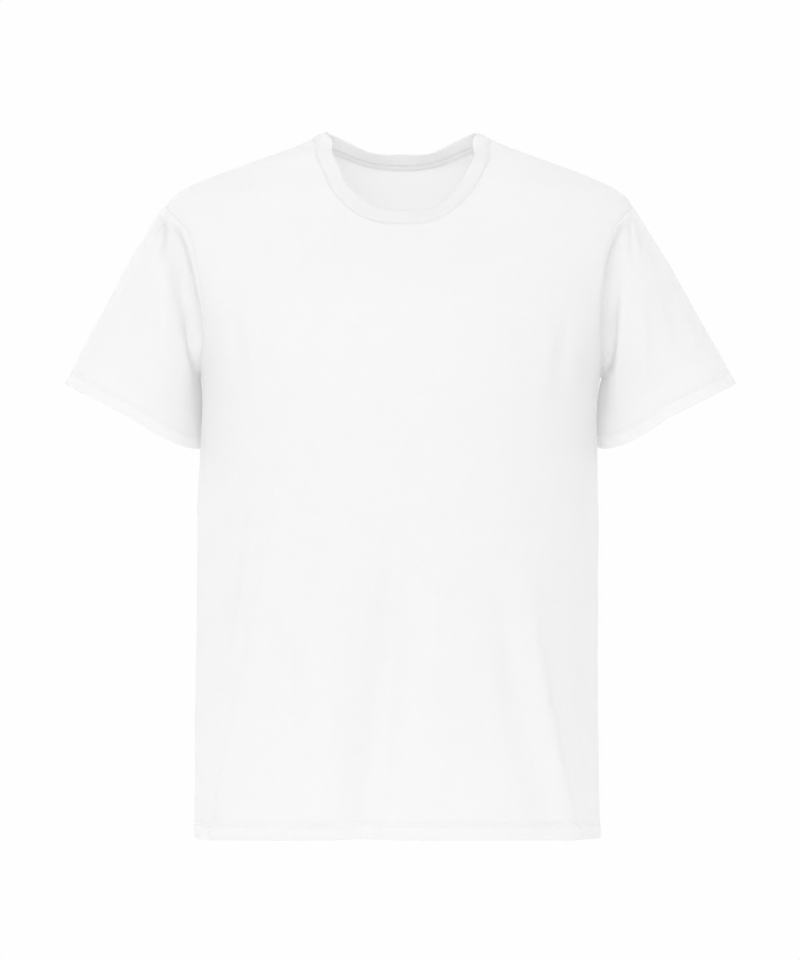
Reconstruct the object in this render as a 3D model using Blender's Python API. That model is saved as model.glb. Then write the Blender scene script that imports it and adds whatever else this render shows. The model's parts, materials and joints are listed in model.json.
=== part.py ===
"""A crew neck t-shirt in single jersey, filled out as when worn, with nobody in it.

The cloth hangs on a form made of rings, one at each height, each a rounded oval. A body
panel is a grid of points on those rings, cut along its seams. A sleeve is lofted from its
armhole to its hem. Every piece is a thin wall built inwards from its outer face, and the
pieces stop a hair short of each other at the seams.

Sizes are in millimetres and become metres when a mesh is made. The origin is between the
high points of the shoulders, +Z is up, and the front faces -Y. Angles on a ring are in
degrees: 0 at the front, 90 at the wearer's left, 180 at the back.
"""

import bmesh
import bpy
import numpy as np

METRE = 1000.0

# Cloth and seams
CLOTH = 1.2
HEM_CLOTH = 2.4
BAND_CLOTH = 2.0
TAPE_CLOTH = 1.0
SEAM_GAP = 0.38
FOLD_GAP = 0.8
LAYER_GAP = 0.45
HEM_STEP = 0.8

# Body
NECK_POINT = 2.5
BODY_HEM = -709.5
BODY_HEM_DEPTH = 18.0
FRONT_HEM_RISE = 10.5
BACK_HEM_RISE = -3.0
HEM_RISE_TOP = -560.0
ARMPIT = -239.0
DIP_BOTTOM = -345.0
ARMPIT_DIP = 0.3
NECK_ASKEW = 0.022
SEAM_ANGLE = 93.0
HALF_TURN = 180.0
CORNER = 2.35

# Sleeves
SLEEVE_HEM_DEPTH = 16.0
SLEEVE_HEM_HALF_DEPTH = 39.0
SLEEVE_LENGTH = 205.0

# Neck tape: where it starts below the neck seam, and its width
TAPE_START = 1.4
TAPE_WIDTH = 7.0

# How finely the walls are cut up
BODY_COLUMNS = 24
ARMHOLE_STEPS = 11
SIDE_STEPS = 10
SHOULDER_STEPS = 5

# The form: height, middle, half width, depth in front, depth behind
FORM = (
    (6, 0, 80, 5, 27),
    (2, 0, 89, 9, 33),
    (-5, 0, 104, 16, 38),
    (-12, 0, 122, 22.5, 43),
    (-20, 0, 144, 28.5, 50),
    (-38, -0.5, 192, 39, 62),
    (-56, -1.5, 228, 50, 73),
    (-72, -1.5, 237, 58, 80),
    (-91, -1, 238, 68, 88),
    (-120, -0.4, 232, 84, 97),
    (-150, 0, 226, 99, 104),
    (-200, 1, 211, 113, 108),
    (-250, -0.5, 201.5, 119, 107),
    (-330, -2.6, 202, 119, 103),
    (-450, -3.5, 203.5, 116, 101),
    (-600, -4.4, 204.5, 113, 100),
    (-720, -3.5, 207, 112, 100),
)

# The neck seam: how far it drops below the neck point at the middle of the front and of
# the back, and the powers that give its curve a flat middle and level ends
FRONT_NECK_DROP = 92.0
BACK_NECK_DROP = 22.0
NECK_FLATNESS = 3
NECK_LEVELLING = 2

# How steeply the band rises inwards from the neck seam: angle, slope in degrees
BAND_SLOPE = ((0, 68), (50, 40), (90, 20), (109, 14), (130, 28), (180, 44))

# The band's profile: distance up from the seam, how far it stands out there
BAND_PROFILE = ((0, 0), (5, 0.3), (10, 0.2), (14, -0.2), (15, -0.7))

# The armhole, from the shoulder point round the front to the armpit and up the back:
# angle, height
ARMHOLE = (
    (93, -64),
    (87.5, -70),
    (82.5, -84),
    (79, -104),
    (76.5, -130),
    (74.5, -160),
    (75, -188),
    (79, -215),
    (86, -233),
    (93, -239),
    (100, -232),
    (105.5, -212),
    (108, -180),
    (107.5, -140),
    (104.5, -108),
    (100.5, -84),
    (97, -70),
)
ARMHOLE_ARMPIT = 9

# Folds of the body: angle at the top, middle and bottom, top height, half width, rise.
# A rise below zero is a trough. Each fold starts at its top and deepens down to the hem.
FOLDS = (
    (-4, -10, -20, -360, 24, -9.0),
    (-48, -62, -76, -300, 15, 7.0),
    (50, 58, 66, -400, 13, 7.5),
    (176, 184, 190, -330, 22, -8.0),
    (132, 126, 118, -300, 16, 7.0),
    (228, 232, 241, -360, 15, 7.0),
)
FOLD_GROWTH = 1.6

# How the cloth of a sleeve runs from its armhole to its hem, at shares of the way round
# from the top to the underarm: how far it sets out sideways, inwards and down as it leaves
# the armhole, then sideways and down as it reaches the hem
SLEEVE_RUN = (
    (0.00, 98, 0, 174, 98, 174),
    (0.25, 100, 4, 112, 75, 140),
    (0.50, 84, 26, 44, 45, 120),
    (0.75, 56, 34, 20, 18, 90),
    (1.00, 30, 0, 30, 0, 65),
)

# How far a sleeve then stands out from that run: share of its length, at the front, the
# top and the back
SLEEVE_EASE = (
    (0.00, 0, 0, 0),
    (0.06, -2, 1.0, -2),
    (0.14, -7, 1.0, -6),
    (0.26, -2, 1.0, -2),
    (0.42, 3, 0.8, 2),
    (0.70, 3, 0.5, 3),
    (1.00, 0, 0, 0),
)
SLEEVE_STATIONS = (0, 0.05, 0.1, 0.15, 0.21, 0.29, 0.4, 0.54, 0.7, 0.83)

# The two sleeves: name, side, how much fuller the top is, outer end of the hem (x, z),
# its inner end (x, z), and how far the hem sags before that end and lifts at it
SLEEVES = (
    ("sleeve_right", -1, 5.0, (341.0, -248.0), (205.0, -319.0), 3.6, 7.0),
    ("sleeve_left", 1, 2.0, (340.0, -247.5), (201.8, -319.5), 5.0, 12.0),
)
HEM_OUTER_Y = -3.0
HEM_INNER_Y = 20.0
HEM_CORNER_TURN = 8

# Colours: white jersey, the slightly brighter rib, and the tape
JERSEY = (0.86, 0.86, 0.87)
RIB = (0.87, 0.87, 0.88)
TAPE = (0.88, 0.88, 0.88)
CLOTH_ROUGHNESS = 0.9


def curve(table, column, at):
    """One column of a table read at any value of its first column, as a smooth curve."""
    rows = np.array(sorted(table), float)
    x, y = rows[:, 0], rows[:, column]
    gap = np.diff(x)
    slope = np.diff(y) / gap
    system = np.eye(len(x))
    rise = np.zeros(len(x))
    for i in range(1, len(x) - 1):
        system[i, i - 1 : i + 2] = gap[i - 1], 2 * (gap[i - 1] + gap[i]), gap[i]
        rise[i] = 6 * (slope[i] - slope[i - 1])
    bend = np.linalg.solve(system, rise)
    at = np.clip(np.asarray(at, float), x[0], x[-1])
    i = np.clip(np.searchsorted(x, at) - 1, 0, len(x) - 2)
    left, right = (x[i + 1] - at) / gap[i], (at - x[i]) / gap[i]
    curving = (left**3 - left) * bend[i] + (right**3 - right) * bend[i + 1]
    return left * y[i] + right * y[i + 1] + curving * gap[i] ** 2 / 6


def ramp(value):
    """0 below 0, 1 above 1, and smooth between."""
    share = np.clip(value, 0, 1)
    return share * share * (3 - 2 * share)


def unit(vectors):
    return vectors / np.linalg.norm(vectors, axis=-1, keepdims=True)


def off_front(angle):
    """How far round from the front an angle is, on either side."""
    return np.abs((angle + HALF_TURN) % (2 * HALF_TURN) - HALF_TURN)


def folds(angle, height, reach):
    """How far the folds of the body push the cloth out at an angle and height."""
    push = np.zeros(np.broadcast(angle, height).shape)
    for top_angle, mid_angle, bottom_angle, top, half_width, rise in FOLDS:
        down = np.clip((top - height) / (top - BODY_HEM), 0, 1)
        path = (
            top_angle * (1 - down) * (1 - 2 * down)
            + 4 * mid_angle * down * (1 - down)
            + bottom_angle * down * (2 * down - 1)
        )
        aside = (angle - path + HALF_TURN) % (2 * HALF_TURN) - HALF_TURN
        away = np.radians(aside) * reach / half_width
        push = push + rise * ramp(down * FOLD_GROWTH) * np.exp(-away * away)
    return push


def on_form(angle, height):
    """Points of the form's outer face."""
    turn = np.radians(angle)
    in_front = np.cos(turn) > 0
    depth = np.where(in_front, curve(FORM, 3, height), curve(FORM, 4, height))
    across = np.abs(np.sin(turn) / curve(FORM, 2, height)) ** CORNER
    along = np.abs(np.cos(turn) / depth) ** CORNER
    reach = (across + along) ** (-1 / CORNER)
    reach = reach + folds(angle, height, reach)
    x = curve(FORM, 1, height) + reach * np.sin(turn)
    y = -reach * np.cos(turn)
    return np.stack([x, y, np.broadcast_to(height, x.shape)], axis=-1)


def closed_curve(points, steps):
    """Points along a smooth closed curve through the given ones, steps to each half."""
    ring = np.array(points, float)
    count = len(ring)
    system = 4 * np.eye(count) + np.roll(np.eye(count), 1, 0) + np.roll(np.eye(count), -1, 0)
    knots = np.linalg.solve(system, 6 * ring)
    halves = (0, ARMHOLE_ARMPIT), (ARMHOLE_ARMPIT, count)
    at = [np.linspace(start, end, steps, endpoint=False) for start, end in halves]
    at = np.concatenate(at)
    i, t = at.astype(int), (at % 1)[:, None]
    before, here, after, later = (knots[(i + k) % count] for k in (-1, 0, 1, 2))
    return (
        (1 - t) ** 3 * before
        + (3 * t**3 - 6 * t**2 + 4) * here
        + (-3 * t**3 + 3 * t**2 + 3 * t + 1) * after
        + t**3 * later
    ) / 6


def armhole():
    """(angle, height) round the armhole: down the front from the shoulder, up the back."""
    return closed_curve(ARMHOLE, ARMHOLE_STEPS)


def panel_edge(behind):
    """(angle, height) up the side of a panel: side seam, armhole, shoulder seam."""
    first = [BODY_HEM, BODY_HEM + BODY_HEM_DEPTH, BODY_HEM + BODY_HEM_DEPTH + HEM_STEP]
    upper = np.linspace(first[-1], ARMPIT, SIDE_STEPS + 1)[1:-1]
    side = [(SEAM_ANGLE, height) for height in (*first, *upper)]
    loop = armhole()
    front, back = loop[: ARMHOLE_STEPS + 1][::-1], loop[ARMHOLE_STEPS:]
    scoop = np.vstack([back, loop[:1]]) if behind else front
    shoulder = np.linspace(scoop[-1, 1], NECK_POINT, SHOULDER_STEPS + 1)[1:]
    return np.vstack([side, scoop, [(SEAM_ANGLE, height) for height in shoulder]])


def neck_drop(behind, across):
    """How far the neck seam drops below the neck point, across a panel from -1 to 1."""
    deepest, askew = (BACK_NECK_DROP, 0.0) if behind else (FRONT_NECK_DROP, NECK_ASKEW)
    off_middle = np.abs(across - askew * np.cos(np.pi / 2 * across))
    return deepest * (1 - off_middle**NECK_FLATNESS) ** NECK_LEVELLING


def row_dips(edge_heights, deepest):
    """How far each row of a panel dips at its middle, so that they spread up to the neck."""
    low = ramp((edge_heights - DIP_BOTTOM) / (ARMPIT - DIP_BOTTOM))
    dips = low * ARMPIT_DIP * deepest
    first = int(np.argmin(np.abs(edge_heights - ARMPIT)))
    top, bottom = NECK_POINT - deepest, ARMPIT - dips[first]
    middles = np.linspace(bottom, top, len(edge_heights) - first)
    dips[first:] = edge_heights[first:] - middles
    return dips


def panel(behind):
    """The outer face of the front or back panel, as rows of points from hem to neck."""
    across = np.linspace(-1, 1, BODY_COLUMNS + 1)
    middle, seam_spread = (HALF_TURN, HALF_TURN - SEAM_ANGLE) if behind else (0.0, SEAM_ANGLE)
    drop = neck_drop(behind, across)
    hem_rise = (BACK_HEM_RISE if behind else FRONT_HEM_RISE) * (1 - np.abs(across) ** 3)
    edge = panel_edge(behind)
    dips = row_dips(edge[:, 1], drop.max())
    rows = []
    for (edge_angle, edge_height), dip in zip(edge, dips):
        scoop = (edge_angle - SEAM_ANGLE) * (-1 if behind else 1) * across**3
        near_hem = ramp((HEM_RISE_TOP - edge_height) / (HEM_RISE_TOP - BODY_HEM))
        height = edge_height - dip * drop / drop.max() + near_hem * hem_rise
        rows.append(on_form(middle + across * seam_spread + scoop, height))
    return np.array(rows)


def sleeve_hem(side, outer, inner, sag, lift, share):
    """Points round a sleeve's hem; share runs 0 to 1 to 2, top, front, underarm, back, top."""
    turn = np.pi * share
    outer_end = np.array([side * outer[0], HEM_OUTER_Y, outer[1]])
    inner_end = np.array([side * inner[0], HEM_INNER_Y, inner[1]])
    middle, reach = (outer_end + inner_end) / 2, (outer_end - inner_end) / 2
    loop = middle + np.cos(turn)[:, None] * reach
    loop[:, 1] -= SLEEVE_HEM_HALF_DEPTH * np.sin(turn)
    inwards = np.clip(-np.cos(turn), 0, 1)
    loop[:, 2] += lift * inwards**HEM_CORNER_TURN - sag * np.sin(np.pi * inwards)
    return loop


def sleeve(side, fuller, outer, inner, sag, lift):
    """The outer face of a sleeve: rows of points from the armhole down to the hem."""
    loop = armhole()
    start = on_form(side * loop[:, 0], loop[:, 1])
    share = np.arange(len(loop)) / ARMHOLE_STEPS
    end = sleeve_hem(side, outer, inner, sag, lift, share)
    facing, upward = np.sin(np.pi * share), np.cos(np.pi * share)
    run = [curve(SLEEVE_RUN, k, 1 - np.abs(1 - share)) for k in range(1, 6)]
    leaving = np.stack([side * run[0], run[1] * np.sign(facing), -run[2]], axis=-1)
    arriving = np.stack([side * run[3], 0 * share, -run[4]], axis=-1)
    fold = 1 - SLEEVE_HEM_DEPTH / SLEEVE_LENGTH
    rows = []
    for t in (*SLEEVE_STATIONS, fold - HEM_STEP / SLEEVE_LENGTH, fold, 1.0):
        row = (
            (2 * t**3 - 3 * t**2 + 1) * start
            + (t**3 - 2 * t**2 + t) * leaving
            + (3 * t**2 - 2 * t**3) * end
            + (t**3 - t**2) * arriving
        )
        front, top, back = (curve(SLEEVE_EASE, k, t) for k in (1, 2, 3))
        push = (
            front * np.clip(facing, 0, 1) ** 2
            + back * np.clip(-facing, 0, 1) ** 2
            + top * fuller * np.clip(upward, 0, 1) ** 2
        )
        rows.append(row + unit(row - row.mean(axis=0)) * push[:, None])
    rows = np.array(rows)
    return rows if side > 0 else rows[:, ::-1]


def neckband(front, back):
    """The outer face of the band, from the neck seam up to its folded edge."""
    seam = np.vstack([front[-1][:-1], back[-1][:-1]])
    along = unit(np.roll(seam, -1, 0) - np.roll(seam, 1, 0))
    angle = off_front(np.degrees(np.arctan2(seam[:, 0], -seam[:, 1])))
    slope = np.radians(curve(BAND_SLOPE, 1, angle))
    inwards = -unit(seam * (1, 1, 0))
    rising = inwards * np.cos(slope)[:, None] + np.sin(slope)[:, None] * (0, 0, 1)
    rising = unit(rising - along * (along * rising).sum(axis=1, keepdims=True))
    facing = np.cross(along, rising)
    return np.array([seam + rising * width + facing * out for width, out in BAND_PROFILE])


def neck_tape(back, normals):
    """The tape's face against the cloth, on the inside of the back panel under its neck."""
    downwards = unit(back[-2] - back[-1])
    inset = CLOTH + LAYER_GAP
    widths = (TAPE_START + TAPE_WIDTH, TAPE_START + TAPE_WIDTH / 2, TAPE_START)
    rows = [back[-1] + downwards * width - normals[-1] * inset for width in widths]
    return np.array(rows)[:, 1:-1]


def normals_of(grid, closed):
    """Which way the outer face looks at each point of a grid."""
    if closed:
        across = np.roll(grid, -1, 1) - np.roll(grid, 1, 1)
    else:
        across = np.gradient(grid, axis=1)
    return unit(np.cross(across, np.gradient(grid, axis=0)))


def inward(grid, place, closed):
    """The direction from a point on the edge of a grid into its piece, square to the edge."""
    row, column = place
    rows, columns = grid.shape[:2]
    inner_row = np.clip(row, 1, rows - 2)
    inner_column = column if closed else np.clip(column, 1, columns - 2)
    into = grid[inner_row, inner_column] - grid[place]
    if inner_row == row:
        along = unit(grid[row + 1, column] - grid[row - 1, column])
    elif inner_column == column:
        along = unit(grid[row, (column + 1) % columns] - grid[row, column - 1])
    else:
        return unit(into)
    return unit(into - along * (along @ into))


def join_seams(grids, normals, closed):
    """Parts the pieces by the seam gap where they meet, and turns their edges to match.

    Edges meet in a mitre, except where one piece folds back on the other, as under the
    arm: there each keeps its own normal, and they part face to face.
    """
    meeting = {}
    for name, grid in grids.items():
        for place in np.ndindex(grid.shape[:2]):
            meeting.setdefault(tuple(grid[place].round(3)), []).append((name, place))
    moves = {name: np.zeros_like(grid) for name, grid in grids.items()}
    for members in meeting.values():
        if len(members) == 1:
            continue
        own = [normals[name][place].copy() for name, place in members]
        into = [inward(grids[name], place, closed[name]) for name, place in members]
        for i, (name, place) in enumerate(members):
            shared = own[i].copy()
            for j in range(len(members)):
                if j == i:
                    continue
                alike = own[i] @ own[j]
                folded = max(0.0, -alike)
                apart = unit(into[i] - into[j] + folded * (own[j] - own[i]))
                moves[name][place] += apart * (SEAM_GAP + folded * FOLD_GAP) / 2
                shared += np.clip(1 + alike, 0, 1) * own[j]
            normals[name][place] = unit(shared)
    for name, grid in grids.items():
        grid += moves[name]


def wall(name, outer, normals, thickness, closed, material):
    """A closed wall of cloth from its outer face; thickness has one value for each row."""
    inner = outer - normals * np.asarray(thickness)[:, None, None]
    rows, columns = outer.shape[:2]
    mesh = bpy.data.meshes.new(name)
    shape = bmesh.new()
    faces = [
        [[shape.verts.new(point / METRE) for point in row] for row in side]
        for side in (outer, inner)
    ]
    steps = columns if closed else columns - 1
    for j in range(rows - 1):
        for i in range(steps):
            k = (i + 1) % columns
            for side, turn in zip(faces, (1, -1)):
                shape.faces.new((side[j][i], side[j][k], side[j + 1][k], side[j + 1][i])[::turn])
    out, back = faces
    for i in range(steps):
        k = (i + 1) % columns
        shape.faces.new((out[0][k], out[0][i], back[0][i], back[0][k]))
        shape.faces.new((out[-1][i], out[-1][k], back[-1][k], back[-1][i]))
    if not closed:
        for j in range(rows - 1):
            shape.faces.new((out[j][0], out[j + 1][0], back[j + 1][0], back[j][0]))
            shape.faces.new((out[j + 1][-1], out[j][-1], back[j][-1], back[j + 1][-1]))
    bmesh.ops.triangulate(shape, faces=shape.faces[:])
    shape.to_mesh(mesh)
    shape.free()
    mesh.shade_smooth()
    mesh.materials.append(material)
    piece = bpy.data.objects.new(name, mesh)
    bpy.context.scene.collection.objects.link(piece)


def cloth_material(name, colour):
    material = bpy.data.materials.new(name)
    material.use_nodes = True
    shader = material.node_tree.nodes["Principled BSDF"]
    shader.inputs["Base Color"].default_value = (*colour, 1)
    shader.inputs["Roughness"].default_value = CLOTH_ROUGHNESS
    shader.inputs["Metallic"].default_value = 0
    return material


def main():
    for thing in list(bpy.data.objects):
        bpy.data.objects.remove(thing)
    jersey = cloth_material("white_jersey", JERSEY)
    rib = cloth_material("white_rib", RIB)
    tape = cloth_material("white_tape", TAPE)

    grids = {"front": panel(False), "back": panel(True)}
    for name, *shape in SLEEVES:
        grids[name] = sleeve(*shape)
    grids["neckband"] = neckband(grids["front"], grids["back"])
    closed = {name: name not in ("front", "back") for name in grids}
    normals = {name: normals_of(grid, closed[name]) for name, grid in grids.items()}
    join_seams(grids, normals, closed)
    tape_grid = neck_tape(grids["back"], normals["back"])

    for name in ("front", "back"):
        thickness = [HEM_CLOTH] * 2 + [CLOTH] * (len(grids[name]) - 2)
        wall(name, grids[name], normals[name], thickness, False, jersey)
    for name, *_ in SLEEVES:
        thickness = [CLOTH] * (len(grids[name]) - 2) + [HEM_CLOTH] * 2
        wall(name, grids[name], normals[name], thickness, True, jersey)
    thickness = [BAND_CLOTH] * len(BAND_PROFILE)
    wall("neckband", grids["neckband"], normals["neckband"], thickness, True, rib)
    thickness = [TAPE_CLOTH] * len(tape_grid)
    wall("neck_tape", tape_grid, normals_of(tape_grid, False), thickness, False, tape)


main()
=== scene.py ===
"""The looks of a crew neck t-shirt in fine white jersey, filled out with nobody in it.

The cloth hangs on a form made of rings, one at each height, each a rounded oval. A panel
is a grid of points on those rings, cut along its seams, and a sleeve is lofted from its
armhole to its hem. Creases, puckers and the rolled edges of the seams push the points in
or out, and each piece is then a thin wall with both faces. Stitches and ribs are made by
geometry nodes.

Sizes in the tables are in millimetres and become metres when a mesh is made. The origin
is between the high points of the shoulders, +Z is up, and the front faces -Y. Angles on a
ring are in degrees: 0 at the front, 90 at the wearer's left, 180 at the back.
"""

import json
import bpy
import numpy as np
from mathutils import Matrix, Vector


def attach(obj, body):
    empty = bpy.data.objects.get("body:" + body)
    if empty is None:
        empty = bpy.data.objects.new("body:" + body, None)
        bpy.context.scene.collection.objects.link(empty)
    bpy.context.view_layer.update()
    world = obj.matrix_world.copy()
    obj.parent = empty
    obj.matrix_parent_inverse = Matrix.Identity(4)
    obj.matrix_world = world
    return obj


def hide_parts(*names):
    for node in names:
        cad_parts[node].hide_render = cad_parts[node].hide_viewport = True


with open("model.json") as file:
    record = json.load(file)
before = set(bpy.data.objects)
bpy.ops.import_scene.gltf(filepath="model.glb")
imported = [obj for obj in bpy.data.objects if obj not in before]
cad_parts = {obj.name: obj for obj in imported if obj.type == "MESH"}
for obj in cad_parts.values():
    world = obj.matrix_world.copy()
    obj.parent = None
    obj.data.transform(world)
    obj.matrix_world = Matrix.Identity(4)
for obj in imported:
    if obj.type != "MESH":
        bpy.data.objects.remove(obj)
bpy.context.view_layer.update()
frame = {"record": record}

bl_info = {
    "name": "Crew Neck T-Shirt",
    "version": (1, 0, 0),
    "blender": (4, 5, 0),
    "location": "View3D > Sidebar > T-Shirt",
    "description": "A filled-out crew neck t-shirt with knit, ribs, seams, creases and stitches",
    "category": "Add Mesh",
}

METRE = 1000.0
HALF_TURN = 180.0

# Body
NECK_POINT = 2.5
BODY_HEM = -709.5
BODY_HEM_DEPTH = 18.0
FRONT_HEM_RISE = 10.5
BACK_HEM_RISE = -3.0
HEM_RISE_TOP = -560.0
ARMPIT = -239.0
DIP_BOTTOM = -345.0
ARMPIT_DIP = 0.3
NECK_ASKEW = 0.022
SEAM_ANGLE = 93.0
CORNER = 2.35

# Sleeves
SLEEVE_HEM_DEPTH = 16.0
SLEEVE_HEM_HALF_DEPTH = 39.0

# How finely the pieces are cut up
BODY_COLUMNS = 164
BODY_ROWS = 136
ARMHOLE_STEPS = 90
SHOULDER_STEPS = 28
SLEEVE_ROWS = 84
SLEEVE_SAMPLES = 400
EDGE_CROWDING = 0.86
NECK_CROWDING = 0.8
TIP_FLATTENING = 1.6
SHOULDER_DROP = 66.0
SHOULDER_CROWDING = 1.7

# The form: height, middle, half width, depth in front, depth behind
FORM = (
    (6, 0, 80, 5, 27),
    (2, 0, 89, 9, 33),
    (-5, 0, 104, 16, 38),
    (-12, 0, 122, 22.5, 43),
    (-20, 0, 144, 28.5, 50),
    (-38, -0.5, 192, 39, 62),
    (-56, -1.5, 228, 50, 73),
    (-72, -1.5, 237, 58, 80),
    (-91, -1, 238, 68, 88),
    (-120, -0.4, 232, 84, 97),
    (-150, 0, 226, 99, 104),
    (-200, 1, 211, 113, 108),
    (-250, -0.5, 201.5, 119, 107),
    (-330, -2.6, 202, 119, 103),
    (-450, -3.5, 203.5, 116, 101),
    (-600, -4.4, 204.5, 113, 100),
    (-720, -3.5, 207, 112, 100),
)

# The neck seam: how far it drops below the neck point at the middle of the front and of
# the back, and the powers that give its curve a flat middle and level ends
FRONT_NECK_DROP = 92.0
BACK_NECK_DROP = 22.0
NECK_FLATNESS = 3
NECK_LEVELLING = 2
NECK_SAMPLES = 2001
# The slope of the form at the seam is read this far either way, in degrees and millimetres
SLOPE_STEP = 0.2

# How far the band leans out from the slope of the cloth it is sewn to: angle from the
# front, degrees. In front it also stands steeper on the wearer's right than on the left.
# The lean is evened out over this part of the way round.
BAND_LEAN = ((0, 5), (45, 0), (90, -2), (125, -15), (180, -8))
BAND_TWIST = 8.0
BAND_EVENED_OVER = 8
BAND_UNEVEN = 0.12
POINTS_PER_RIB = 4

# Round the folded band: distance up from the neck seam, how far it stands out there
BAND_ROUND = (
    (-1.3, -1.1),
    (-0.3, -0.45),
    (0.6, 0.1),
    (2.2, 0.42),
    (5.0, 0.55),
    (8.5, 0.5),
    (11.8, 0.3),
    (13.6, 0.0),
    (14.6, -0.45),
    (15.0, -0.95),
    (14.7, -1.45),
    (13.6, -1.8),
    (10.0, -1.95),
    (5.0, -1.9),
    (0.5, -1.85),
    (-1.0, -1.7),
)

# The armhole, from the shoulder point round the front to the armpit and up the back:
# angle, height
ARMHOLE = (
    (93, -64),
    (87.5, -70),
    (82.5, -84),
    (79, -104),
    (76.5, -130),
    (74.5, -160),
    (75, -188),
    (79, -215),
    (86, -233),
    (93, -239),
    (100, -232),
    (105.5, -212),
    (108, -180),
    (107.5, -140),
    (104.5, -108),
    (100.5, -84),
    (97, -70),
)
ARMHOLE_ARMPIT = 9

# Folds of the body: angle at the top, middle and bottom, top height, half width, rise.
# A rise below zero is a trough. Each fold starts at its top and deepens down to the hem.
FOLDS = (
    (-4, -10, -20, -360, 24, -9.0),
    (-48, -62, -76, -300, 15, 7.0),
    (50, 58, 66, -400, 13, 7.5),
    (176, 184, 190, -330, 22, -8.0),
    (132, 126, 118, -300, 16, 7.0),
    (228, 232, 241, -360, 15, 7.0),
)
FOLD_GROWTH = 1.6

# How the cloth of a sleeve runs from its armhole to its hem, at shares of the way round
# from the top to the underarm: how far it sets out sideways, inwards and down as it leaves
# the armhole, then sideways and down as it reaches the hem
SLEEVE_RUN = (
    (0.00, 98, 0, 174, 98, 174),
    (0.25, 100, 4, 112, 75, 140),
    (0.50, 84, 26, 44, 45, 120),
    (0.75, 56, 34, 20, 18, 90),
    (1.00, 0, 0, 30, 0, 65),
)

# How far a sleeve then stands out from that run: share of its length, at the front, the
# top and the back
SLEEVE_EASE = (
    (0.00, 0, 0, 0),
    (0.06, -2, 1.0, -2),
    (0.14, -7, 1.0, -6),
    (0.26, -2, 1.0, -2),
    (0.42, 3, 0.8, 2),
    (0.70, 3, 0.5, 3),
    (1.00, 0, 0, 0),
)

# The two sleeves: name, node it stands for, side, how much fuller the top is, outer end of
# the hem (x, z), its inner end (x, z), and how far the hem sags before that end and lifts
SLEEVES = (
    ("right_sleeve", "sleeve_right", -1, 5.0, (341.0, -248.0), (202.0, -319.0), 3.6, 7.0),
    ("left_sleeve", "sleeve_left", 1, 2.0, (340.0, -247.5), (196.5, -319.5), 5.0, 12.0),
)
HEM_OUTER_Y = -3.0
HEM_INNER_Y = 28.0
HEM_CORNER_TURN = 8

# Heights above a folded hem where its rows of points lie, then how the cloth stands there:
# share of the hem's depth, how far the outer face sinks, layers of cloth
HEM_ROWS = (
    (0.0, 0.7, 1.0),
    (0.008, 0.3, 1.5),
    (0.025, -0.05, 1.9),
    (0.055, -0.25, 2.1),
    (0.12, -0.36, 2.15),
    (0.24, -0.38, 2.15),
    (0.36, -0.36, 2.15),
    (0.48, -0.3, 2.15),
    (0.60, -0.2, 2.1),
    (0.68, 0.15, 1.9),
    (0.73, 0.4, 1.7),
    (0.78, 0.05, 1.9),
    (0.84, -0.25, 2.1),
    (0.885, -0.05, 1.9),
    (0.92, 0.15, 1.8),
    (0.955, -0.1, 1.9),
    (0.99, -0.2, 2.0),
    (1.015, -0.05, 1.2),
    (1.05, 0.08, 1.0),
    (1.12, 0.1, 1.0),
    (1.22, 0.04, 1.0),
)
NEEDLE_ROWS = (0.92, 0.73)
# Rows of a panel above these are simply far from its hem
HEM_ZONE_ROWS = len(HEM_ROWS) + 4
FAR_FROM_HEM = 3 * BODY_HEM_DEPTH

# Puckers in a hem: how high, how long, how their height grows with their length, and how
# far they may slant. In shares of the hem's depth: they rise over the first, are gone by
# the second and fade over the third.
HEM_RIPPLE = 0.15
RIPPLE_LENGTHS = (6.5, 9.0, 13.0, 21.0, 34.0)
RIPPLE_GROWTH = 0.6
RIPPLE_SLANT = 0.5
RIPPLE_SPAN = (0.25, 1.3, 0.4)

# Rolled edges at the neck seam, then at the other seams: how deep they sink, over what
# distance. Creases have their full height from the clearance on.
NECK_ROLL = (1.1, 1.5)
SEAM_ROLL = (0.2, 1.1)
CREASE_CLEARANCE = 4.5
# Points of two pieces this close are one place of a seam
SAME_PLACE = 0.01

# Neck tape: where it starts below the neck seam and short of its ends, its width as sewn and
# as cut, how far it lies off the cloth, its least thickness, how uneven it is, and how much
# closer together that is than on the panels
TAPE_START = 0.6
TAPE_INSET = 2.0
TAPE_WIDTH = 7.6
TAPE_OFF = 0.1
TAPE_LEAST = 0.05
TAPE_UNEVEN = 0.12
TAPE_UNEVEN_SCALE = 3
TAPE_COLUMNS = 360

# Its rounded section: share of its width, how thick it is there
TAPE_SECTION = (
    (0.0, 0.0),
    (0.03, 0.55),
    (0.1, 0.8),
    (0.16, 0.7),
    (0.28, 1.35),
    (0.48, 1.7),
    (0.68, 1.35),
    (0.82, 0.62),
    (0.9, 0.75),
    (0.97, 0.5),
    (1.0, 0.0),
)
TAPE_NEEDLES = (0.16, 0.84)

# Slow unevenness of the cloth: count of waves, their shortest and longest length
UNEVEN_WAVES = 40
UNEVEN_LENGTHS = (26.0, 95.0)
UNEVEN_SEED = 7

# How much brighter bleached cotton is than the plain slot colour, the share of the light
# that a face of jersey lets through, and of the thicker rib, tape and thread, and how often
# light is followed from wall to wall
BLEACH = 1.09
LET_THROUGH = 0.45
TRIM_LETS_THROUGH = 0.45
BOUNCES = 24

# Knit, in metres: how deep its stitches are, in the panels and in the tape, then how long
# and high the slubs of the yarn are, and the larger patches of heavier yarn
KNIT_DEPTH = 0.00012
TAPE_KNIT_DEPTH = 0.0001
SLUB_SIZE = (0.0055, 0.0009)
PATCH_SIZE = (0.03, 0.018)
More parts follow.
